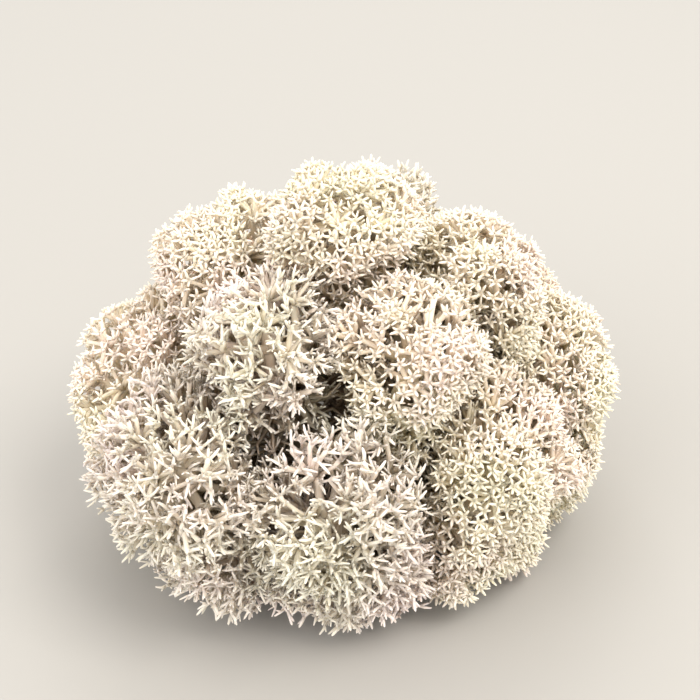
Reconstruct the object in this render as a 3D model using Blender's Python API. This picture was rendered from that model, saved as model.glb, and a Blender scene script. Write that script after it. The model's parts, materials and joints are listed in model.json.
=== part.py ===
"""A clump of reindeer moss, a bushy lichen, as picked and set down on a table.

The clump is fourteen podetia, the bush-like stems of the lichen, packed side by side. Each
podetium is one object: a foot, a slim trunk, a heart in the middle of its head, and twigs
that stand out of the heart and end in a star of three tines. All trunks fan out from one
point below the table, so each podetium keeps to a cone of its own and touches no other.
"""

import math
import random

import bmesh
import bpy
import numpy as np
from mathutils import Vector

MM = 0.001

# The fan: every podetium leans away from this point, which lies below the table.
FAN_POINT = Vector((0, 0, -12 * MM))
GAP = 0.3 * MM  # air left on each side of the wall between two podetia
FLOOR_GAP = 0.7 * MM  # the lowest twig tips stop this far above the table

# The trunk of a podetium, and the heart of its head, where the real one is densest.
TRUNK_SIDES = 6
FOOT_RADIUS = 2.2 * MM
WAIST_PLACE, WAIST_RADIUS = 0.4, 1.6 * MM  # place as a share of the way up the trunk
TRUNK_TOP = 1.9 * MM  # radius in the heart
HEART_SHARE = 0.62  # the heart's size as a share of the head's
HEART_TAIL = 0.7  # how much further the heart goes down the trunk, as a share of that
HEART_DIVISIONS = 2  # of an icosphere, which makes 80 faces

# The twigs that stand out of the heart.
TWIG_SPACING = 3.95 * MM  # the forks of two twigs are at least this far apart
TWIG_TRIES = 4.0 * MM * MM  # of the head's surface, for each place where a twig is tried
TWIG_SIDES = 3
TWIG_RADIUS = 0.7 * MM  # circumradius of the three-sided stalk
TWIG_ROOT = 0.8 * MM  # from the trunk's line to where a twig starts
LEAST_TWIG = 2.8 * MM  # a twig whose fork would be nearer to the trunk's line is left out
SKIRT = 0.9  # twigs go on down the trunk, this many head radii below the middle
SKIRT_ANGLE = math.radians(80)  # between those twigs and the trunk
TINE_LENGTH = 2.3 * MM
LEAST_TINE = 1.3 * MM  # a twig with a shorter tine than this is left out
TINE_SPLAY = math.radians(48)  # angle between a tine and its twig
TINE_RADIUS = 0.44 * MM
CROTCH_RISE = 0.5 * MM  # the middle of the star stands this far above its rim

# The knobs of a head, which make it look like a tiny cauliflower.
KNOBS = 14  # knobs that would cover a whole sphere
KNOB_DEPTH = 0.17  # depth of the creases between knobs, in head radii
KNOB_WIDTH = 0.11  # 1 minus the cosine of a knob's half width

# The clump as a whole is a dome. No head stands out of it, so that the heads, which press
# flat on each other, make one cushion. A twig whose fork is deep inside it is left out.
DOME_MIDDLE = Vector((0, 0, 17)) * MM
DOME_SIZE = Vector((30.5, 26.5, 27)) * MM  # half its length, half its width, height over the middle
BURIED = 0.5  # a place is deep inside at this share of the way from the middle to the surface

# name: (azimuth in degrees, distance out, height of the head's middle, head radius, colour)
PODETIA = {
    "podetium_rim_left_front": (190, 19.0, 15.0, 13.5, "white_thallus"),
    "podetium_rim_front": (236, 17.0, 14.5, 12.5, "white_thallus"),
    "podetium_rim_front_right": (283, 16.5, 14.0, 12.5, "cream_thallus"),
    "podetium_rim_right": (329, 19.0, 15.0, 12.5, "cream_thallus"),
    "podetium_rim_right_back": (13, 19.5, 14.5, 13.0, "beige_thallus"),
    "podetium_rim_back": (57, 17.5, 15.0, 12.5, "cream_thallus"),
    "podetium_rim_left_back": (99, 16.5, 14.5, 12.5, "beige_thallus"),
    "podetium_rim_left": (143, 19.0, 14.5, 13.0, "cream_thallus"),
    "podetium_upper_left": (204, 12.0, 25.0, 12.5, "white_thallus"),
    "podetium_upper_front": (266, 11.5, 24.5, 12.0, "cream_thallus"),
    "podetium_upper_right": (332, 12.0, 25.5, 12.5, "cream_thallus"),
    "podetium_upper_right_back": (45, 11.5, 25.5, 12.5, "white_thallus"),
    "podetium_upper_left_back": (125, 11.5, 25.5, 12.5, "cream_thallus"),
    "podetium_top": (80, 0.5, 31.5, 12.0, "cream_thallus"),
}

THALLUS_COLOURS = {
    "cream_thallus": (0.80, 0.73, 0.56),
    "white_thallus": (0.78, 0.76, 0.68),
    "beige_thallus": (0.74, 0.64, 0.49),
}


def clear_scene():
    for obj in list(bpy.data.objects):
        bpy.data.objects.remove(obj)


def thallus_material(name):
    """Dry lichen: pale, and matt all over."""
    material = bpy.data.materials.new(name)
    material.use_nodes = True
    shader = material.node_tree.nodes["Principled BSDF"]
    shader.inputs["Base Color"].default_value = (*THALLUS_COLOURS[name], 1)
    shader.inputs["Roughness"].default_value = 0.9
    shader.inputs["Metallic"].default_value = 0
    return material


class Head:
    """Where one podetium's head is, and how much room it has."""

    def __init__(self, name, azimuth, out, height, radius, colour):
        turn = math.radians(azimuth)
        self.name = name
        self.colour = colour
        self.radius = radius * MM
        self.middle = Vector((out * math.cos(turn), out * math.sin(turn), height)) * MM
        ray = self.middle - FAN_POINT
        self.axis = ray.normalized()
        self.foot = FAN_POINT + ray * (-FAN_POINT.z / ray.z)
        self.draw = random.Random(name)
        self.knobs = [self.shaken(d, 0.25) for d in even_directions(KNOBS)]

    def shaken(self, direction, amount):
        """The direction with a seeded random turn."""
        shift = [self.draw.uniform(-amount, amount) for _ in range(3)]
        return (direction + Vector(shift)).normalized()

    def set_walls(self, others):
        """The walls, as (inward normal, point, gap): one through the fan point for each
        neighbour, and the table."""
        self.walls = [(Vector((0, 0, 1)), Vector((0, 0, 0)), FLOOR_GAP)]
        for other in others:
            self.walls.append(((self.axis - other.axis).normalized(), FAN_POINT, GAP))

    def pushed_in(self, point, thickness):
        """The point, moved to where a ball of that radius round it is inside all walls."""
        point = point.copy()
        for normal, base, gap in self.walls * 2:
            point += normal * max(0.0, gap + thickness - (point - base).dot(normal))
        return point

    def reach(self, origin, direction):
        """How far the head goes from a place on its trunk's line in a direction: as far as
        its radius or the dome allows on the knobs, and less in the creases."""
        nearest = max(direction.dot(knob) for knob in self.knobs)
        bump = math.exp(-(((1 - nearest) / KNOB_WIDTH) ** 2))
        full = min(self.radius, distance_to_dome(origin, direction))
        return full * (1 - KNOB_DEPTH * (1 - bump))


def in_dome_sizes(vector):
    """The vector in units of the dome's half sizes, in which the dome is a unit sphere."""
    return Vector([x / size for x, size in zip(vector, DOME_SIZE)])


def is_buried(place):
    """Whether the place is deep inside the clump's dome."""
    return in_dome_sizes(place - DOME_MIDDLE).length < BURIED


def distance_to_dome(origin, direction):
    """How far a place inside the dome is from its surface, in a direction."""
    start, way = in_dome_sizes(origin - DOME_MIDDLE), in_dome_sizes(direction)
    a, b, c = way.dot(way), start.dot(way), start.dot(start) - 1
    return (math.sqrt(b * b - a * c) - b) / a


def even_directions(count):
    """Unit vectors spread evenly over a sphere, along a golden-angle spiral."""
    golden = math.pi * (3 - math.sqrt(5))
    for i in range(count):
        z = 1 - (2 * i + 1) / count
        r = math.sqrt(1 - z * z)
        yield Vector((r * math.cos(golden * i), r * math.sin(golden * i), z))


def side_vectors(axis):
    """Two unit vectors square to the axis and to each other."""
    first = axis.orthogonal().normalized()
    return first, axis.cross(first)


def ring(centre, axis, radius, sides, turn=0.0):
    """The corners of a regular polygon, anticlockwise as seen from the axis's tip."""
    first, second = side_vectors(axis)
    angles = [turn + 2 * math.pi * k / sides for k in range(sides)]
    return [centre + (first * math.cos(a) + second * math.sin(a)) * radius for a in angles]


def add_trunk(bm, head):
    """The trunk: a loft from the foot through the waist to the middle of the head, closed at
    both ends. The foot is level, so that it is flat on the table. Each ring is turned by half
    a side against the one below, and triangles join the two."""
    waist = head.foot.lerp(head.middle, WAIST_PLACE)
    up = Vector((0, 0, 1))
    plan = [(head.foot, up, FOOT_RADIUS), (waist, head.axis, WAIST_RADIUS),
            (head.middle, head.axis, TRUNK_TOP)]
    rings = []
    for level, (centre, axis, radius) in enumerate(plan):
        corners = ring(centre, axis, radius, TRUNK_SIDES, level * math.pi / TRUNK_SIDES)
        rings.append([head.pushed_in(corner, 0) for corner in corners])
    for corner in rings[0]:
        corner.z = 0
    rings = [[bm.verts.new(corner) for corner in corners] for corners in rings]
    bm.faces.new(reversed(rings[0]))
    for low, high in zip(rings, rings[1:]):
        for k in range(TRUNK_SIDES):
            after = (k + 1) % TRUNK_SIDES
            bm.faces.new((low[k], low[after], high[k]))
            bm.faces.new((high[k], low[after], high[after]))
    bm.faces.new(rings[-1])


def add_heart(bm, head):
    """The heart: an icosphere whose corners are moved to a fixed share of the way from the
    head's middle to its surface, so that it is the head's own shape in small, but with a tail
    that tapers down the trunk."""
    bmesh.ops.create_icosphere(bm, subdivisions=HEART_DIVISIONS, radius=1)
    for corner in bm.verts:
        direction = corner.co.normalized()
        tail = 1 + HEART_TAIL * max(0, -direction.dot(head.axis))
        length = head.reach(head.middle, direction) * tail
        surface = head.pushed_in(head.middle + direction * length, 0)
        corner.co = head.middle.lerp(surface, HEART_SHARE)


def add_twig(bm, root, fork, tips, direction, turn):
    """One twig: a stalk whose end is poked up in the middle, with a tine grown from each of
    the three faces round that point, like the star at the end of the real twig."""
    base = [bm.verts.new(p) for p in ring(root, direction, TWIG_RADIUS, TWIG_SIDES, turn)]
    rim = [bm.verts.new(p) for p in ring(fork, direction, TWIG_RADIUS, TWIG_SIDES, turn)]
    crotch = bm.verts.new(fork + direction * CROTCH_RISE)
    bm.faces.new(reversed(base))
    for k in range(TWIG_SIDES):
        after = (k + 1) % TWIG_SIDES
        bm.faces.new((base[k], base[after], rim[after], rim[k]))
        foot = (rim[k], rim[after], crotch)
        spine = (tips[k] - sum((v.co for v in foot), Vector()) / 3).normalized()
        # The tip's corners are lined up with the foot's, so that the tine isn't twisted.
        flat = [(v.co - tips[k]) - spine * (v.co - tips[k]).dot(spine) for v in foot]
        middle = sum(flat, Vector()) / 3
        end = [bm.verts.new(tips[k] + (p - middle).normalized() * TINE_RADIUS) for p in flat]
        for i in range(3):
            j = (i + 1) % 3
            bm.faces.new((foot[i], foot[j], end[j], end[i]))
        bm.faces.new(end)


def twig_directions(head):
    """(point on the trunk's line, direction) of places spread evenly over the head.

    The heights of a golden-angle spiral go down in equal steps from the pole of the sphere,
    which gives each place the same area. Below the middle, the sphere gives way to a cylinder
    round the trunk, where equal steps do the same."""
    first, second = side_vectors(head.axis)
    count = 4 * math.pi * head.radius**2 / TWIG_TRIES
    golden = math.pi * (3 - math.sqrt(5))
    for i in range(int(count * (1 + SKIRT) / 2)):
        height = 1 - (2 * i + 1) / count
        around = first * math.cos(golden * i) + second * math.sin(golden * i)
        slope = max(height, math.cos(SKIRT_ANGLE))
        direction = around * math.sqrt(1 - slope**2) + head.axis * slope
        yield head.middle + head.axis * min(height, 0) * head.radius, direction


def twig_places(head):
    """(root, fork, tips, direction, turn) of each twig that has room to stand out."""
    forks = []
    for origin, direction in twig_directions(head):
        reach = head.reach(origin, direction) - TINE_LENGTH * math.cos(TINE_SPLAY)
        fork = head.pushed_in(origin + direction * reach, TWIG_RADIUS)
        stalk = fork - origin
        if stalk.length < LEAST_TWIG or is_buried(fork):
            continue
        if any((fork - other).length < TWIG_SPACING for other in forks):
            continue
        direction = stalk.normalized()
        turn = head.draw.uniform(0, 2 * math.pi)
        tips = []
        for corner in ring(fork, direction, 1, TWIG_SIDES, turn + math.pi / TWIG_SIDES):
            lean = (corner - fork) * math.sin(TINE_SPLAY) + direction * math.cos(TINE_SPLAY)
            tips.append(head.pushed_in(fork + lean * TINE_LENGTH, TINE_RADIUS))
        if min((tip - fork).length for tip in tips) < LEAST_TINE:
            continue
        forks.append(fork)
        yield origin + direction * TWIG_ROOT, fork, tips, direction, turn


def mesh_object(name, build, collection):
    """A new object whose mesh is filled by build(bm)."""
    bm = bmesh.new()
    build(bm)
    bmesh.ops.recalc_face_normals(bm, faces=bm.faces)
    mesh = bpy.data.meshes.new(name)
    bm.to_mesh(mesh)
    bm.free()
    obj = bpy.data.objects.new(name, mesh)
    collection.objects.link(obj)
    return obj


def fuse(trunk, grown):
    """Joins a collection of shapes to their trunk in one Boolean union, and removes them."""
    union = trunk.modifiers.new("grown", "BOOLEAN")
    union.operation = "UNION"
    union.operand_type = "COLLECTION"
    union.collection = grown
    union.solver = "MANIFOLD"
    bpy.context.view_layer.update()
    evaluated = trunk.evaluated_get(bpy.context.evaluated_depsgraph_get())
    trunk.data = bpy.data.meshes.new_from_object(evaluated)
    trunk.data.name = trunk.name
    trunk.modifiers.clear()
    for shape in list(grown.objects):
        bpy.data.objects.remove(shape)
    bpy.data.collections.remove(grown)
    keep_outer_body(trunk.data)


def keep_outer_body(mesh):
    """Fills the small hollows that crossing twigs seal, by deleting their walls: only the
    largest group of faces that join edge to edge stays."""
    bm = bmesh.new()
    bm.from_mesh(mesh)
    unseen = set(bm.faces)
    groups = []
    while unseen:
        group, edge = [], [unseen.pop()]
        while edge:
            face = edge.pop()
            group.append(face)
            near = {other for e in face.edges for other in e.link_faces} & unseen
            unseen -= near
            edge.extend(near)
        groups.append(group)
    groups.sort(key=len)
    for group in groups[:-1]:
        bmesh.ops.delete(bm, geom=group, context="FACES")
    bm.to_mesh(mesh)
    bm.free()


def make_podetium(head, material):
    """One podetium: its trunk, its heart and all its twigs, as one closed body."""
    scene = bpy.context.scene.collection
    trunk = mesh_object(head.name, lambda bm: add_trunk(bm, head), scene)
    grown = bpy.data.collections.new("grown")
    scene.children.link(grown)
    mesh_object("heart", lambda bm: add_heart(bm, head), grown)
    for place in twig_places(head):
        mesh_object("twig", lambda bm: add_twig(bm, *place), grown)
    fuse(trunk, grown)
    trunk.data.materials.clear()
    trunk.data.materials.append(material)
    return trunk


def stand_on_origin(podetia):
    """Moves the clump so that the origin is under the middle of its bounding box."""
    corners = np.array([v.co for obj in podetia for v in obj.data.vertices])
    middle = (corners.min(axis=0) + corners.max(axis=0)) / 2
    for obj in podetia:
        obj.location = (-middle[0], -middle[1], 0)


def main():
    clear_scene()
    materials = {name: thallus_material(name) for name in THALLUS_COLOURS}
    heads = [Head(name, *sizes) for name, sizes in PODETIA.items()]
    for head in heads:
        head.set_walls([other for other in heads if other is not head])
    stand_on_origin([make_podetium(head, materials[head.colour]) for head in heads])


if __name__ == "__main__":
    main()
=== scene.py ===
# %% [markdown]
# # A clump of reindeer moss
#
# Reindeer moss is a lichen that grows as small pale bushes. Each bush, or podetium, forks
# again and again, and every last twig ends in a whorl of four or five fine tines round a tiny
# hole, like a star. Thousands of stars at the same height make the rounded, cauliflower-like
# heads. This script dresses the solid model of a clump: each solid podetium is replaced by
# one that forks as finely as the real thing, and keeps its outline.

# %% The frame
import json
import math

import bpy
import numpy as np
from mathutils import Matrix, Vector, kdtree


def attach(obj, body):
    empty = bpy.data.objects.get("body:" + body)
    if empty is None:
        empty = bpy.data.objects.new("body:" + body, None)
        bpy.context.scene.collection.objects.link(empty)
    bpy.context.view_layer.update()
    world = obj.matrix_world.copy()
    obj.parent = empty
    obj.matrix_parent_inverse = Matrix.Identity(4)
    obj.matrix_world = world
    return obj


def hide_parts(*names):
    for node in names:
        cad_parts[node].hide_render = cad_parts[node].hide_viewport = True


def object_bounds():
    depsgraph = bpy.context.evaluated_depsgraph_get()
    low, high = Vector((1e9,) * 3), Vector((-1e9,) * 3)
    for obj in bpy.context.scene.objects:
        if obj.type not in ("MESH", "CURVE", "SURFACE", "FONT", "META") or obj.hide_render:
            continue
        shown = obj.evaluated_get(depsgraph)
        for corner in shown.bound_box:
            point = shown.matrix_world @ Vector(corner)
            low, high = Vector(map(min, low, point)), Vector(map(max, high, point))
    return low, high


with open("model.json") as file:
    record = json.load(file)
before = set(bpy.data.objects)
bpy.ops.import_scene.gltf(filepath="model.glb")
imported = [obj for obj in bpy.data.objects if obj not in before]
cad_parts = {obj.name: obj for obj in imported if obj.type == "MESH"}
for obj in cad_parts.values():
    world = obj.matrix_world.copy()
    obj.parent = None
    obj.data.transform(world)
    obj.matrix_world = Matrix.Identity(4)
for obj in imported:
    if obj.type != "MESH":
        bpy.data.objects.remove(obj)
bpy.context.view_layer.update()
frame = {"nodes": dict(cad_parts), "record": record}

MM = 0.001

# %% [markdown]
# ## Measuring a podetium
#
# The solid model has fewer, coarser twigs, but their tips lie on the surface that the stars
# should reach. So the first step reads that surface back from the solid. It could be a fitted
# sphere, but then the knobs and the flat sides where heads press on each other would be lost.
# A star-shaped surface keeps them: one radius for each direction from the head's heart.


# %% Directions and lengths
def unit(vectors):
    """Each vector divided by its length."""
    return vectors / np.linalg.norm(vectors, axis=-1, keepdims=True)


def even_directions(count):
    """Unit vectors spread evenly over a sphere: the heights go down in equal steps, and each
    vector is turned by the golden angle against the one before."""
    step = np.arange(count)
    height = 1 - (2 * step + 1) / count
    turn = step * math.pi * (3 - math.sqrt(5))
    flat = np.sqrt(1 - height**2)
    return np.stack([flat * np.cos(turn), flat * np.sin(turn), height], axis=1)


# %% Nearest places
def tree_of(places):
    """A search tree that finds the places near a given one fast."""
    tree = kdtree.KDTree(len(places))
    for index, place in enumerate(places):
        tree.insert(place, index)
    tree.balance()
    return tree


def nearest(places, tree):
    """(indices, distances) of the tree's nearest entry to each place."""
    found = [tree.find(place) for place in places]
    return np.array([index for _, index, _ in found]), np.array([gap for _, _, gap in found])


# %% The surface of a head, and of the whole clump
TIP_SHARPNESS = 3.2  # how fast a solid twig's influence on the surface fades with angle
CLUMP_WAYS = 2400  # directions in which the whole clump is measured
HEART_HEIGHT = 0.35  # height of the clump's heart, as a share of the clump's


def corners_of(node):
    """The corners of a solid's mesh, in metres, without those that are doubled."""
    corners = np.empty(len(node.data.vertices) * 3, np.float32)
    node.data.vertices.foreach_get("co", corners)
    return np.unique(corners.reshape(-1, 3), axis=0).astype(float)


def surface_radius(directions, corners, heart):
    """How far the surface is from the heart in each direction: the distance of the furthest
    corner, where a corner counts for less by TIP_SHARPNESS times (1 - cosine of the angle)."""
    rays = corners - heart
    far = np.linalg.norm(rays, axis=1)
    aim = directions @ (rays / far[:, None]).T
    return (far * (1 - TIP_SHARPNESS * (1 - aim))).max(axis=1)


solids = {name: corners_of(node) for name, node in frame["nodes"].items()}
all_corners = np.concatenate(list(solids.values()))
clump_heart = np.array([0, 0, HEART_HEIGHT * all_corners[:, 2].max()])
clump_ways = even_directions(CLUMP_WAYS)
clump_radius = surface_radius(clump_ways, all_corners, clump_heart)
way_tree = tree_of(clump_ways)


def depth_of(places):
    """How deep each place is inside the clump: the surface's distance from the clump's heart,
    in the nearest of the measured directions, less the place's own."""
    rays = places - clump_heart
    return clump_radius[nearest(unit(rays), way_tree)[0]] - np.linalg.norm(rays, axis=1)


# %% A podetium's foot and heart
FOOT_PLANE = 0.05 * MM  # corners below this height are the foot's


def measured(name):
    """(corners, foot, heart) of a solid podetium: the middle of its flat foot, and the middle
    of its head, which is the mean of all corners, because most of them are on twigs."""
    corners = solids[name]
    foot = corners[corners[:, 2] < FOOT_PLANE].mean(axis=0)
    return corners, foot, corners.mean(axis=0)


# %% [markdown]
# ## Choosing where the stars go
#
# The stars crowd each other evenly, as growing tips do, but never in rows. A grid or a spiral
# would show as a pattern, and plain random points leave holes. Dart throwing gives the
# natural look: random places, of which none is nearer to another than a set distance.


# %% Dart throwing
def picked_apart(places, spacing, rng):
    """Indices of places that are at least the spacing apart, where each place may have its
    own. The places are taken in random order, and each that is kept removes the others that
    are nearer to it than the mean of both spacings."""
    own = np.broadcast_to(spacing, len(places))
    widest = own.max()
    tree = tree_of(places)
    left = np.ones(len(places), bool)
    kept = []
    for index in rng.permutation(len(places)):
        if left[index]:
            kept.append(index)
            for _, other, gap in tree.find_range(places[index], (own[index] + widest) / 2):
                left[other] &= gap > (own[index] + own[other]) / 2
    return np.sort(kept)


# %% Smooth noise for tufts and open patches
WAVES = 24
TUFT_WIDTH = 8 * MM  # typical wavelength
WIDTH_RANGE = (0.7, 1.4)  # shortest and longest wavelength, as shares of that
NOISE_LIMIT = 1.6  # where rare peaks are clipped


def smooth_noise(places, seed):
    """A number for each place that changes smoothly: the sum of cosine waves in random
    directions, scaled so that it mostly lies between -1.5 and 1.5."""
    rng = np.random.default_rng(seed)
    length = TUFT_WIDTH * rng.uniform(*WIDTH_RANGE, (WAVES, 1))
    waves = unit(rng.normal(size=(WAVES, 3))) * 2 * math.pi / length
    phases = rng.uniform(0, 2 * math.pi, WAVES)
    noise = np.cos(places @ waves.T + phases).sum(axis=1) * math.sqrt(2 / WAVES)
    return np.clip(noise, -NOISE_LIMIT, NOISE_LIMIT)


# %% Places for the stars on one head
CANDIDATE_ROOM = 0.42  # area for each direction that is tried, in squared spacings
JITTER = 0.25  # how far each is moved at random, in spacings
REACH = 3.6 * MM  # a star grows only where a solid twig is this near
LOWEST = 1.0 * MM  # no star nearer to the table than this
LEAST_BRANCH = 1.5 * MM  # nor nearer to the heart than this
TRUNK_CONE = math.cos(math.radians(20))  # nor inside this angle round the trunk
FURROW_FILL = 0.72  # the share by which furrows between heads are filled
FURROW_FROM, FURROW_TO = 1.5 * MM, 7 * MM  # depths between which that is done
LIGHT = 4.5 * MM  # down to this depth the light is good, and the stars are dense
DARK = 21 * MM  # below this depth no stars grow
THINNING = 0.075 / MM  # how much wider the stars stand for each millimetre past the light
DENSE_SIDE = unit(np.array([0.75, -0.66, 0.0]))  # the cushion at the front right is densest
DENSER = 0.12  # how much closer the stars are there, and further apart on the other side
TUFT_RISE = 0.55 * MM  # how far tufts stand out, for each unit of the noise
FLUSH = 0.5  # noise at which a tuft is level with the solid's tips
TUFT_DENSITY = 0.16  # how much closer the stars are in tufts, as a share of the spacing
TUFT_SEED = 1


def star_places(podetium, spacing, inset, rng):
    """(places, depths) of stars, a given inset under the head's surface. In the furrows
    between heads the surface is raised by FURROW_FILL of its depth, times the cosine between
    the head's and the clump's outward ways, and everywhere by the noise of the tufts. Stars
    are the spacing apart where there is light, and wider below."""
    corners, foot, heart = podetium
    largest = np.linalg.norm(corners - heart, axis=1).max()
    directions = even_directions(int(4 * math.pi * (largest / spacing) ** 2 / CANDIDATE_ROOM))
    directions = unit(directions + rng.normal(0, JITTER * spacing / largest, directions.shape))
    radius = surface_radius(directions, corners, heart)
    usable = radius > inset + LEAST_BRANCH
    usable &= directions @ unit(foot - heart) < TRUNK_CONE
    directions, radius = directions[usable], radius[usable]
    places = heart + directions * radius[:, None]
    reachable = nearest(places, tree_of(corners))[1] < REACH
    facing = (directions * unit(places - clump_heart)).sum(axis=1)
    furrow = np.clip(depth_of(places), FURROW_FROM, FURROW_TO) - FURROW_FROM
    tuft = smooth_noise(places, TUFT_SEED)
    rise = FURROW_FILL * furrow * np.clip(facing, 0, 1) + TUFT_RISE * (tuft - FLUSH) - inset
    places += directions * rise[:, None]
    depth = depth_of(places)
    usable = reachable & (depth < DARK) & (places[:, 2] > LOWEST)
    places, depth, tuft = places[usable], depth[usable], tuft[usable]
    wide = spacing * (1 + THINNING * np.clip(depth - LIGHT, 0, None))
    wide = wide * (1 - TUFT_DENSITY * tuft)
    wide *= 1 - DENSER * unit(places - clump_heart) @ DENSE_SIDE
    chosen = picked_apart(places, wide, rng)
    return places[chosen], depth[chosen]


# %% [markdown]
# ## Growing the branches
#
# A real podetium forks into three or four at every node. Growing it from the ground up would
# give tips that stop anywhere. So the tree is worked out backwards: stars that are neighbours
# meet in one node a little deeper, those nodes meet in deeper ones, and the last few join the
# trunk. Each level keeps the place on the surface that its stars surround (the aim) and the
# point on the trunk that it comes from (the root), and lies on the line between the two.


# %% Levels of the tree
LEVELS = (  # share of the way from root to surface, and spacing of the nodes, in millimetres
    (0.80, 2.9),
    (0.60, 4.3),
    (0.36, 6.2),
)
BRANCH_SLOPE = 0.7  # a branch leaves the trunk this far below its tip, times its length outwards
LOWEST_BRANCH = 0.3  # share of the trunk, from the foot up, that has no branches


def roots_of(aims, foot, heart):
    """The point on the trunk that each place is fed from. It is level with the place, less
    BRANCH_SLOPE times its distance from the trunk, and between the foot and the heart."""
    trunk = heart - foot
    length = np.linalg.norm(trunk)
    along = (aims - foot) @ trunk / length
    aside = np.linalg.norm(aims - foot - along[:, None] * trunk / length, axis=1)
    share = np.clip((along - BRANCH_SLOPE * aside) / length, LOWEST_BRANCH, 1)
    return foot + share[:, None] * trunk


def gathered(aims, share, spacing, foot, heart, rng):
    """One level of nodes below the given ones: (parent index for each, aims of the nodes).
    Places at that depth are picked apart, each child goes to the nearest, and a node aims at
    the mean of its children's aims."""
    roots = roots_of(aims, foot, heart)
    deep = roots + (aims - roots) * share
    picked = deep[picked_apart(deep, spacing, rng)]
    parent, _ = nearest(deep, tree_of(picked))
    members = np.bincount(parent, minlength=len(picked))
    sums = np.stack([np.bincount(parent, aims[:, k], len(picked)) for k in range(3)], axis=1)
    return parent, sums / members[:, None]


# %% [markdown]
# ## Tubes
#
# Branches, stalks and tines are all the same shape at different sizes: a tube along a bent
# line, thinner towards its end. Curve objects with a bevel could draw them, but tens of
# thousands would be slow. Here all tubes of a kind are one array: a cubic curve for each,
# rings of corners along it, and faces that join ring to ring. Both ends are closed.


# %% Curves and rings
PULL = 0.38  # how far a curve keeps its way at each end, as a share of its length
UPRIGHT = 0.8  # a unit vector whose height is above this counts as nearly upright


def curved(start, start_way, end, end_way, steps, pull=PULL):
    """(points, tangents) of cubic curves from start to end. The two middle handles lie pull
    times the curve's straight length along the ways at its ends. The point at t is the sum of
    the four handles times s cubed, 3 s squared t, 3 s t squared and t cubed, where s is 1 - t.
    """
    reach = np.linalg.norm(end - start, axis=1, keepdims=True) * pull
    handles = [start, start + start_way * reach, end - end_way * reach, end]
    p0, p1, p2, p3 = (handle[:, None, :] for handle in handles)
    t = np.asarray(steps)[None, :, None]
    s = 1 - t
    points = s**3 * p0 + 3 * s**2 * t * p1 + 3 * s * t**2 * p2 + t**3 * p3
    slopes = s**2 * (p1 - p0) + 2 * s * t * (p2 - p1) + t**2 * (p3 - p2)
    return points, unit(slopes)


def square_to(ways):
    """Two unit vectors square to each way and to each other. The first is the cross product
    with +Z, or with +X where the way is nearly upright."""
    helper = np.where(np.abs(ways[..., 2:]) < UPRIGHT, [0.0, 0.0, 1.0], [1.0, 0.0, 0.0])
    first = unit(np.cross(ways, helper))
    return first, np.cross(ways, first)


def tubes(points, tangents, radii, sides, tip):
    """(corners, faces) of closed tubes. Each ring's first corner points along one fixed
    direction made square to the tangent. The last ring closes in a point that lies tip times
    its radius ahead, so a negative tip makes a hollow end."""
    count, rings = points.shape[:2]
    fixed, _ = square_to(tangents.mean(axis=1, keepdims=True))
    first = unit(fixed - (fixed * tangents).sum(-1, keepdims=True) * tangents)
    second = np.cross(tangents, first)
    turn = np.arange(sides) * 2 * math.pi / sides
    wheel = first[:, :, None] * np.cos(turn)[:, None] + second[:, :, None] * np.sin(turn)[:, None]
    corners = points[:, :, None] + wheel * radii[..., None, None]
    ends = points[:, -1] + tangents[:, -1] * (radii[:, -1:] * tip)
    corners = np.concatenate([corners.reshape(count, rings * sides, 3), ends[:, None]], axis=1)

    per_tube = rings * sides + 1
    low = np.arange((rings - 1) * sides).reshape(rings - 1, sides)
    after = np.roll(low, -1, axis=1)
    walls = np.stack([low, after, after + sides, low + sides], axis=-1).reshape(-1, 4)
    last = (rings - 1) * sides + np.arange(sides)
    cap = np.stack([last, np.roll(last, -1), np.full(sides, per_tube - 1)], axis=-1)
    base = np.arange(sides)[::-1][None]
    offsets = (np.arange(count) * per_tube)[:, None, None]
    faces = [(shape[None] + offsets).reshape(-1, shape.shape[1]) for shape in (walls, cap, base)]
    return corners.reshape(-1, 3), faces


# %% Collecting tubes into one mesh
class Bundle:
    """Tubes of one piece, with two numbers for each corner: age, from 0 at the youngest
    tips to 1 at the foot, which is partly real ageing and partly painted shade deep in the clump,
    and shoot, a random number that all corners of one shoot share."""

    def __init__(self):
        self.corners, self.ages, self.shoots, self.faces = [], [], [], []
        self.size = 0

    def add(self, points, tangents, radii, sides, tip, ages, shoots):
        """Adds tubes. ages has one row for each tube with its value at every ring."""
        corners, faces = tubes(points, tangents, radii, sides, tip)
        rings = np.repeat(ages, sides, axis=1)
        self.corners.append(corners)
        self.ages.append(np.concatenate([rings, ages[:, -1:]], axis=1).ravel())
        self.shoots.append(np.repeat(shoots, ages.shape[1] * sides + 1))
        self.faces += [face + self.size for face in faces]
        self.size += len(corners)

    def to_object(self, name):
        """The collected tubes as one smooth-shaded mesh object."""
        mesh = bpy.data.meshes.new(name)
        corners = np.concatenate(self.corners)
        loops = np.concatenate([face.ravel() for face in self.faces])
        sizes = np.concatenate([np.full(len(face), face.shape[1]) for face in self.faces])
        mesh.vertices.add(len(corners))
        mesh.vertices.foreach_set("co", corners.ravel())
        mesh.loops.add(len(loops))
        mesh.loops.foreach_set("vertex_index", loops)
        mesh.polygons.add(len(sizes))
        mesh.polygons.foreach_set("loop_start", np.cumsum(sizes) - sizes)
        mesh.polygons.foreach_set("use_smooth", np.ones(len(sizes), bool))
        for label, values in (("age", self.ages), ("shoot", self.shoots)):
            layer = mesh.attributes.new(label, "FLOAT", "POINT")
            layer.data.foreach_set("value", np.concatenate(values).astype(np.float32))
        mesh.update(calc_edges=True)
        obj = bpy.data.objects.new(name, mesh)
        bpy.context.scene.collection.objects.link(obj)
        return obj, int((sizes - 2).sum())


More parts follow.
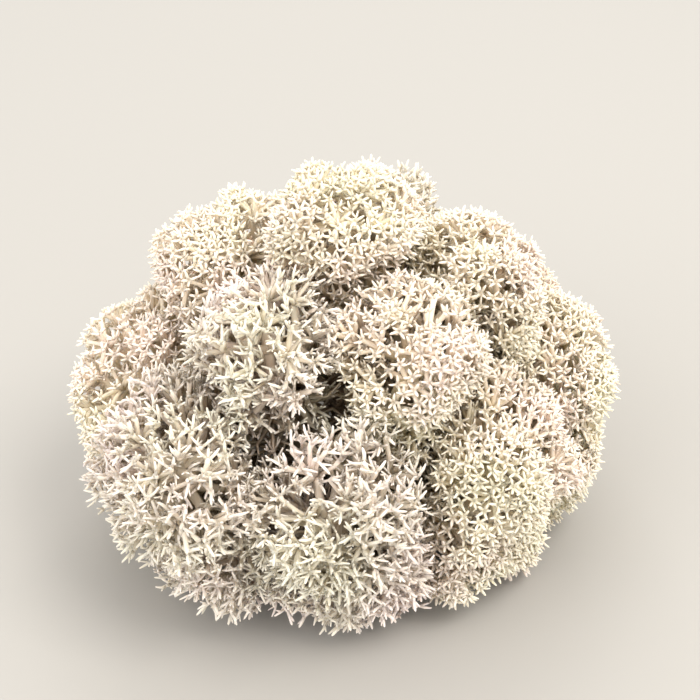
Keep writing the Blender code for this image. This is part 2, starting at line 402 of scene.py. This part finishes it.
# %% [markdown]
# ## One podetium
#
# The sizes below suit dried star-tipped reindeer lichen: a stem a good 2 mm thick at the foot,
# stalks of about 0.5 mm, and tines of 0.4 mm that are 1 to 2 mm long. Real tines can be half as
# thick, but then there would have to be four times as many. Young cushions are dense, with
# short tines. In old, open ones the stars stand further apart and their long tines fork again,
# so the branches show between them.

# %% Sizes of branches
STEM = (1.15 * MM, 0.95 * MM)  # radius at the foot and at the heart
STEM_AGES = (1.0, 0.7)
STEM_PULL = 0.08  # little, so that the stem stays on the line that the branches start from
BRANCHES = (  # radius at the start and at the end, age at both, and the stoutest come first
    (0.80 * MM, 0.62 * MM, 0.75, 0.6),
    (0.60 * MM, 0.47 * MM, 0.6, 0.45),
    (0.46 * MM, 0.36 * MM, 0.45, 0.3),
)
STALK_SHAPES = (  # places along a stalk, its radius there in millimetres, and sides
    ((0.0, 0.45, 0.85, 1.0), (0.29, 0.25, 0.27, 0.36), 5),  # at the surface
    ((0.0, 0.7, 1.0), (0.29, 0.25, 0.35), 4),  # deeper, where less shows
)
TINE_SHAPES = (  # the same for tines, with the radius as a share of the kind's
    ((0.0, 0.5, 0.88), (0.95, 0.9, 0.6), 4),
    ((0.0, 0.8), (1.0, 0.6), 3),
)

KINDS = {  # spacing of the stars; length, radius, splay (in degrees) and number of the tines;
    # share of them that fork again; and how much a tuft's stars lean the same way
    "cream_thallus": dict(spacing=1.13 * MM, tine=0.85 * MM, radius=0.18 * MM, splay=52,
                          tines=(4, 5), forked=0, lean=0.15),
    "beige_thallus": dict(spacing=1.3 * MM, tine=0.9 * MM, radius=0.18 * MM, splay=50,
                          tines=(4, 5), forked=0, lean=0.2),
    "white_thallus": dict(spacing=1.55 * MM, tine=1.6 * MM, radius=0.2 * MM, splay=40,
                          tines=(2, 4), forked=0.9, lean=0.5),
}
UNDER_LAYERS = (  # further layers of stars: depth under the surface, and spacing
    (1.3 * MM, 1.65 * MM),
    (3.5 * MM, 2.2 * MM),
    (6.0 * MM, 2.6 * MM),
)


# %% Stars
TURN_SPREAD = 0.18  # how unevenly a star's tines stand round its stalk, in radians
SPLAY_SPREAD = 9  # how much their splay differs, in degrees
TINE_LENGTHS = (0.75, 1.2)  # shortest and longest, as shares of the kind's
TINE_WIDTHS = (0.85, 1.15)  # thinnest and thickest, as shares of the kind's
RIM, SINK = 0.2 * MM, 0.12 * MM  # where a tine starts: out from the star's middle, and below it
START_OUT, START_ON = 0.9, 0.6  # its way there: outwards, and on along the stalk
END_OUT, END_ON = 0.8, 0.25  # its way at the end: the share of out that is left, and more on
TINE_WAVER = 0.35  # how far it strays from that
BLUNT = 1.4  # length of the tip past the last ring, in radii
FORK_ON, FORK_WAVER = 1.3, 0.3  # how much more a fork goes on than aside, and how it strays
FORK_LENGTH, FORK_WIDTH = 0.6, 0.9  # as shares of its tine's
FORK_STEPS, FORK_SIDES = (0.0, 0.8), 3


def add_stars(bundle, places, ways, kind, ages, shoots, shape, rng):
    """A whorl of tines at each place. They start on the rim of the stalk's open end, evenly
    turned round it, splay out, and bend a little back towards the stalk's way. A kind's forked
    share of them has one more tine, which leaves the first below its middle."""
    steps, taper, sides = shape
    taper = np.array(taper)
    count = rng.integers(*kind["tines"], len(places), endpoint=True)
    star = np.repeat(np.arange(len(places)), count)
    number = np.arange(len(star)) - np.repeat(np.cumsum(count) - count, count)
    turn = 2 * math.pi * (number / count[star] + rng.random(len(places))[star])
    turn += rng.normal(0, TURN_SPREAD, len(star))
    way = ways[star]
    first, second = square_to(way)
    out = first * np.cos(turn)[:, None] + second * np.sin(turn)[:, None]
    splay = np.radians(rng.normal(kind["splay"], SPLAY_SPREAD, len(star)))[:, None]
    length = (kind["tine"] * rng.uniform(*TINE_LENGTHS, len(star)))[:, None]
    start = places[star] + out * RIM - way * SINK
    end = start + (out * np.sin(splay) + way * np.cos(splay)) * length
    start_way = unit(out * START_OUT + way * START_ON)
    end_way = out * np.sin(splay) * END_OUT + way * (np.cos(splay) + END_ON)
    end_way = unit(end_way + rng.normal(0, TINE_WAVER, end_way.shape))
    points, tangents = curved(start, start_way, end, end_way, steps)
    radius = kind["radius"] * rng.uniform(*TINE_WIDTHS, len(star))[:, None]
    age = ages[star][:, None] * (1 - np.array(steps))
    bundle.add(points, tangents, taper * radius, sides, BLUNT, age, shoots[star])

    fork = np.flatnonzero(rng.random(len(star)) < kind["forked"])
    middle = len(steps) // 2
    start, way = (points[fork, 0] + points[fork, middle]) / 2, tangents[fork, middle]
    aside = np.cross(way, out[fork]) * rng.choice([-1, 1], (len(fork), 1))
    aside = unit(FORK_ON * way + unit(aside + rng.normal(0, FORK_WAVER, aside.shape)))
    end = start + aside * FORK_LENGTH * length[fork]
    points, tangents = curved(start, aside, end, way, FORK_STEPS)
    bundle.add(points, tangents, taper[[0, -1]] * FORK_WIDTH * radius[fork], FORK_SIDES, BLUNT,
               age[fork][:, [0, -1]], shoots[star[fork]])


# %% Branches and stalks
BRANCH_STEPS = np.linspace(0, 1, 5)
BRANCH_WAVER = 0.12  # how far the way at a branch's end strays
POINTED, ROUNDED, HOLLOW = 1.0, 0.6, -1.0  # how far a tube's end stands out, in radii, or goes in
STALK_AGE = 0.12  # how much older a stalk's start is than its star
STALK_WIDTHS = (0.9, 1.1)  # thinnest and thickest, as shares of the shape's


def add_branches(bundle, start, start_way, end, end_way, radii, ages, shoots, sides, rng,
                 pull=PULL):
    """Bent branches that taper evenly from the first radius and age to the second."""
    end_way = unit(end_way + rng.normal(0, BRANCH_WAVER, end_way.shape))
    points, tangents = curved(start, start_way, end, end_way, BRANCH_STEPS, pull)
    radius = radii[0] + (radii[1] - radii[0]) * BRANCH_STEPS
    age = ages[0] + (ages[1] - ages[0]) * BRANCH_STEPS
    rows = np.ones((len(start), 1))
    bundle.add(points, tangents, radius * rows, sides, ROUNDED, age * rows, shoots)


def add_stalks(bundle, start, start_way, end, end_way, ages, shoots, shape, rng):
    """Stalks that carry the stars: slim, flared at the end, with a hollow in it."""
    steps, radii, sides = shape
    points, tangents = curved(start, start_way, end, end_way, steps)
    age = ages[:, None] + STALK_AGE * (1 - np.array(steps))
    radii = np.array(radii) * MM * rng.uniform(*STALK_WIDTHS, (len(start), 1))
    bundle.add(points, tangents, radii, sides, HOLLOW, age, shoots)


# %% Old side twigs
OLD_TWIGS = 120  # on each trunk
OLD_PLACES = (0.12, 0.95)  # where on the trunk, as shares of its length from the foot up
OLD_LEAST = 2.0 * MM  # least length, of which the trunk hides a half
OLD_LENGTH, OLD_GROWTH = 3.2 * MM, 3.4 * MM  # what the longest have more: at the foot, and above
OLD_SHORTEST = 0.4  # what the shortest have more, as a share of that
OLD_RISE = (0.1, 0.9)  # least and most that they point up the trunk, against 1 outwards
OLD_BEND = 0.8  # how far the way at their end strays
OLD_LOWEST = 0.8 * MM  # none ends nearer to the table than this
OLD_STEPS = (0.0, 0.4, 0.75, 1.0)
OLD_RADII = np.array([0.3, 0.26, 0.2, 0.12]) * MM
OLD_AGE, OLD_YOUTH = 0.95, 0.35  # age at the foot, and how much less it is at the trunk's end
OLD_SIDES = 3


def add_old_twigs(bundle, foot, heart, rng):
    """Short twigs along the trunk, left from when its top was there: bent, without stars, and
    longer the higher they are. They start on the trunk's line in random directions."""
    trunk_way = unit(heart - foot)
    first, second = square_to(trunk_way[None])
    up = rng.uniform(*OLD_PLACES, OLD_TWIGS)[:, None]
    turn = rng.uniform(0, 2 * math.pi, OLD_TWIGS)[:, None]
    out = first * np.cos(turn) + second * np.sin(turn)
    start = foot + (heart - foot) * up
    end_way = unit(out + trunk_way * rng.uniform(*OLD_RISE, (OLD_TWIGS, 1)))
    bent = unit(end_way + rng.normal(0, OLD_BEND, end_way.shape))
    more = rng.uniform(OLD_SHORTEST, 1, (OLD_TWIGS, 1)) * (OLD_LENGTH + OLD_GROWTH * up)
    end = start + end_way * (OLD_LEAST + more)
    end[:, 2] = np.maximum(end[:, 2], OLD_LOWEST)
    points, tangents = curved(start, out, end, bent, OLD_STEPS)
    age = OLD_AGE - OLD_YOUTH * up + np.zeros(len(OLD_STEPS))
    rows = np.ones((OLD_TWIGS, 1))
    bundle.add(points, tangents, OLD_RADII * rows, OLD_SIDES, POINTED, age, rng.random(OLD_TWIGS))


# %% The whole podetium
UPWARDS = 0.3  # how much all branches turn towards the trunk's way
# Deeper stars are darker: partly real ageing, partly painted shade in the crevices between heads.
TIP_AGE, AGEING_AND_SHADE = 0.12, 0.035  # age of the outermost stars, and more for each millimetre deeper: real ageing and painted shade
AGEING_AND_SHADE_DEPTH = 11  # where the ageing and the painted shade end, in millimetres
LEAN_SEEDS = (2, 3, 4)
STAR_WAVER = 0.13  # how far each star's way strays
BRANCH_SIDES, LIMB_SIDES, STEM_SIDES = 6, 7, 9


def grown(name, podetium, kind, rng):
    """One podetium as one object: stars, their stalks, the branches level by level, and the
    trunk. A star's middle lies as deep under the surface as its tines reach up: their length
    times the cosine of the splay. A way is the sum of the direction from the root and a share
    of the trunk's, so branches leave the trunk like a fountain."""
    _, foot, heart = podetium
    trunk_way = unit(heart - foot)
    bundle = Bundle()

    def ways_at(aims):
        return unit(unit(aims - roots_of(aims, foot, heart)) + UPWARDS * trunk_way)

    inset = kind["tine"] * math.cos(math.radians(kind["splay"]))
    layers = [star_places(podetium, spacing, inset + under, rng)
              for under, spacing in ((0, kind["spacing"]), *UNDER_LAYERS)]
    aims, depth = (np.concatenate(rows) for rows in zip(*layers))
    # Darker with depth: real ageing, and painted shade where the crevices are.
    ages = TIP_AGE + AGEING_AND_SHADE * np.clip(depth / MM, 0, AGEING_AND_SHADE_DEPTH)
    leans = np.stack([smooth_noise(aims, seed) for seed in LEAN_SEEDS], axis=1)
    ways = unit(ways_at(aims) + kind["lean"] * leans + rng.normal(0, STAR_WAVER, aims.shape))
    places, shoots = aims, rng.random(len(aims))
    fine = (np.arange(len(aims)) < len(layers[0][0])) & (depth < LIGHT)
    detail = fine, ~fine
    for those, shape in zip(detail, TINE_SHAPES):
        add_stars(bundle, places[those], ways[those], kind, ages[those], shoots[those], shape, rng)

    for level, (share, spacing) in enumerate(LEVELS):
        parent, node_aims = gathered(aims, share, spacing * MM, foot, heart, rng)
        node_roots = roots_of(node_aims, foot, heart)
        nodes = node_roots + (node_aims - node_roots) * share
        node_ways = ways_at(node_aims)
        node_shoots = rng.random(len(nodes))
        if level == 0:
            start, start_way = nodes[parent], node_ways[parent]
            for those, shape in zip(detail, STALK_SHAPES):
                add_stalks(bundle, start[those], start_way[those], places[those], ways[those],
                           ages[those], shoots[those], shape, rng)
        else:
            thick, thin, old, young = BRANCHES[-level]
            add_branches(bundle, nodes[parent], node_ways[parent], places, ways,
                         (thick, thin), (old, young), shoots, BRANCH_SIDES, rng)
        aims, places, ways, shoots = node_aims, nodes, node_ways, node_shoots

    thick, thin, old, young = BRANCHES[0]
    roots = roots_of(aims, foot, heart)
    start_way = np.broadcast_to(trunk_way, roots.shape)
    add_branches(bundle, roots, start_way, places, ways,
                 (thick, thin), (old, young), shoots, LIMB_SIDES, rng)
    up = np.array([[0.0, 0.0, 1.0]])
    add_branches(bundle, foot[None], up, heart[None], trunk_way[None],
                 STEM, STEM_AGES, rng.random(1), STEM_SIDES, rng, STEM_PULL)
    add_old_twigs(bundle, foot, heart, rng)
    obj, triangles = bundle.to_object(name)
    print(f"{name}: {' + '.join(str(len(rows)) for rows, _ in layers)} stars, {triangles} triangles")
    return obj, triangles


# %% [markdown]
# ## Materials
#
# Dry reindeer lichen is a felt of fungus threads: fully matt, and pale because it has no
# skin. The tips are cream, the older twigs turn greyish, and the dying foot is brown. One
# function makes all three shades, because only their colours differ.


# %% Nodes and colours
def linear(code):
    """An sRGB hex colour as the linear numbers that a shader wants."""
    parts = [int(code[i : i + 2], 16) / 255 for i in (0, 2, 4)]
    return [c / 12.92 if c <= 0.04045 else ((c + 0.055) / 1.055) ** 2.4 for c in parts] + [1]


def add_node(tree, kind, settings=(), inputs=(), links=()):
    """A new node, with its own settings, its inputs' values, and links from other sockets."""
    node = tree.nodes.new(kind)
    for key, value in dict(settings).items():
        setattr(node, key, value)
    for key, value in dict(inputs).items():
        node.inputs[key].default_value = value
    for key, socket in dict(links).items():
        tree.links.new(socket, node.inputs[key])
    return node


# %% The lichen's matt felt
SHADES = {  # tips; older twigs, whose colour deep stars also take as painted shade; the foot
    "cream_thallus": ("FDF6EA", "E8DBC2", "614E3A"),
    "white_thallus": ("F9F3EC", "D0C4B4", "584A3B"),
    "beige_thallus": ("F9EFE2", "DAC7A9", "5C4833"),
}
YOUNG, OLD = 0.14, 0.52  # up to what age a twig has the tips' colour, and where it has the older twigs', which includes painted shade on deep stars
DRIFT = 12 * MM  # size of the pinkish and the greenish patches
TINTS = ((0.35, "FFF4F1"), (0.65, "FDFBEC"))  # what they multiply the colour by, and where
SHOOT_LIGHT = (0.88, 1.02)  # the darkest and the lightest shoot
GRAIN = 0.25 * MM  # the felt's own threads are 50 times finer


def thallus(name, shades):
    """Felted lichen. Its colour runs from the tips to the foot by age, which is partly
    real ageing and partly painted shade deeper in the clump, and drifts a little towards pink and
    green. Each shoot is a little lighter or darker. A grain of GRAIN stands for the felt of
    threads, which is too fine to show. The tines are thin and full of air, so light goes half a
    millimetre through them, and red light the furthest."""
    material = bpy.data.materials.new(name)
    material.use_nodes = True
    tree = material.node_tree
    shader = tree.nodes["Principled BSDF"]
    place = add_node(tree, "ShaderNodeTexCoord").outputs["Object"]
    age = add_node(tree, "ShaderNodeAttribute", {"attribute_name": "age"}).outputs["Fac"]
    shoot = add_node(tree, "ShaderNodeAttribute", {"attribute_name": "shoot"}).outputs["Fac"]

    # Colour from tips to foot by age: real ageing, and painted shade on stars deep in the clump.
    ramp = add_node(tree, "ShaderNodeValToRGB", links={"Fac": age})
    tips, twigs, foot = (linear(code) for code in shades)
    ramp.color_ramp.elements[0].color = tips
    ramp.color_ramp.elements[0].position = YOUNG
    ramp.color_ramp.elements[1].color = foot
    ramp.color_ramp.elements.new(OLD).color = twigs

    drift = add_node(tree, "ShaderNodeTexNoise", inputs={"Scale": 1 / DRIFT, "Detail": 2.0},
                     links={"Vector": place})
    tints = add_node(tree, "ShaderNodeValToRGB", links={"Fac": drift.outputs["Fac"]})
    for element, (position, code) in zip(tints.color_ramp.elements, TINTS):
        element.position, element.color = position, linear(code)
    tinted = add_node(tree, "ShaderNodeMix", {"data_type": "RGBA", "blend_type": "MULTIPLY"},
                      {"Factor": 1.0})
    tree.links.new(ramp.outputs["Color"], tinted.inputs["A"])
    tree.links.new(tints.outputs["Color"], tinted.inputs["B"])

    light = add_node(tree, "ShaderNodeMapRange", links={"Value": shoot},
                     inputs={"To Min": SHOOT_LIGHT[0], "To Max": SHOOT_LIGHT[1]})
    shaded = add_node(tree, "ShaderNodeVectorMath", {"operation": "SCALE"},
                      links={"Vector": tinted.outputs["Result"], "Scale": light.outputs["Result"]})
    tree.links.new(shaded.outputs["Vector"], shader.inputs["Base Color"])

    grain = add_node(tree, "ShaderNodeTexNoise", inputs={"Scale": 1 / GRAIN, "Detail": 3.0},
                     links={"Vector": place})
    bump = add_node(tree, "ShaderNodeBump", inputs={"Strength": 0.5, "Distance": 0.05 * MM},
                    links={"Height": grain.outputs["Fac"]})
    tree.links.new(bump.outputs["Normal"], shader.inputs["Normal"])
    shader.inputs["Roughness"].default_value = 0.95
    shader.inputs["Specular IOR Level"].default_value = 0.15
    shader.inputs["Subsurface Weight"].default_value = 0.3
    shader.inputs["Subsurface Radius"].default_value = (1.0, 0.85, 0.65)
    shader.inputs["Subsurface Scale"].default_value = 0.5 * MM
    return material


thalli = {slot: thallus(slot, shades) for slot, shades in SHADES.items()}
print("materials:", sorted(thalli))

# %% Growing all podetia
SEED = 41
rng = np.random.default_rng(SEED)
slots = {part["node"]: part["material_slot"] for part in frame["record"]["subparts"]}
total = 0
for node_name in sorted(frame["nodes"]):
    slot = slots[node_name]
    piece, triangles = grown(f"forked_{node_name}", measured(node_name), KINDS[slot], rng)
    piece.data.materials.append(thalli[slot])
    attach(piece, "root")
    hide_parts(node_name)
    total += triangles
print("triangles in all:", total)

# %% [markdown]
# ## Floor, light and camera
#
# The clump stands on a plain pale table. A bright, even surrounding gives most of the light,
# as under an overcast sky. Three large lamps model the knobs: one from the upper right in
# front, a weaker one from the left, and one from behind. The camera looks down from the front
# left, at the angle that the photograph was taken from.

# %% Helpers for what only surrounds the clump
low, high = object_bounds()
centre = (low + high) / 2


def plain_material(name, code):
    """Matt paint in one colour."""
    material = bpy.data.materials.new(name)
    material.use_nodes = True
    shader = material.node_tree.nodes["Principled BSDF"]
    shader.inputs["Base Color"].default_value = linear(code)
    shader.inputs["Roughness"].default_value = 0.9
    return material


def place_around(data, azimuth, elevation, distance):
    """A new object for a lamp or a camera, at a distance from the clump's middle, turned to
    look there. Azimuth 0 is the front, and it grows towards the right."""
    a, e = math.radians(azimuth), math.radians(elevation)
    back = Vector((math.sin(a) * math.cos(e), -math.cos(a) * math.cos(e), math.sin(e)))
    obj = bpy.data.objects.new(data.name, data)
    bpy.context.scene.collection.objects.link(obj)
    obj.location = centre + back * distance
    obj.rotation_mode = "QUATERNION"
    obj.rotation_quaternion = (-back).to_track_quat("-Z", "Y")
    return obj


# %% Floor
TABLE_SIDE = 12  # in metres, so that low views don't see past its edge

bpy.ops.mesh.primitive_plane_add(size=TABLE_SIDE, location=(0, 0, 0))
floor = bpy.context.object
floor.name = "table"
floor.data.materials.append(plain_material("pale matt table", "A8A49E"))

# %% Lights
LAMPS = (  # azimuth and elevation, distance and side in metres, power in watts, colour
    ("key", 25, 58, 0.5, 0.25, 1.55, "FFFCF8"),
    ("fill", -80, 35, 0.6, 0.4, 1.1, "FAFAFF"),
    ("back", 150, 50, 0.5, 0.3, 0.7, "FFFFFF"),
)
SURROUNDING, STRENGTH = "F4F4F2", 1.5

for name, azimuth, elevation, distance, side, power, code in LAMPS:
    lamp = bpy.data.lights.new(name, "AREA")
    lamp.size, lamp.energy, lamp.color = side, power, linear(code)[:3]
    place_around(lamp, azimuth, elevation, distance)

world = bpy.data.worlds.new("studio")
world.use_nodes = True
world.node_tree.nodes["Background"].inputs["Color"].default_value = linear(SURROUNDING)
world.node_tree.nodes["Background"].inputs["Strength"].default_value = STRENGTH
bpy.context.scene.world = world
bpy.context.scene.view_settings.view_transform = "Standard"

# %% Camera
VIEW = (-33.6, 34.7)  # azimuth and elevation of the photograph's viewpoint
LENS, SENSOR = 74.7, 36.0  # in millimetres, as on a camera
ROOM = 0.78  # camera distance, as a share of where the bounding sphere just fills the frame

camera = bpy.data.cameras.new("camera")
camera.lens, camera.sensor_width = LENS, SENSOR
camera.clip_start, camera.clip_end = 0.01, 20
distance = (high - low).length / 2 / math.sin(math.atan(SENSOR / 2 / LENS)) * ROOM
bpy.context.scene.camera = place_around(camera, *VIEW, distance)
print("camera distance:", round(distance, 3))
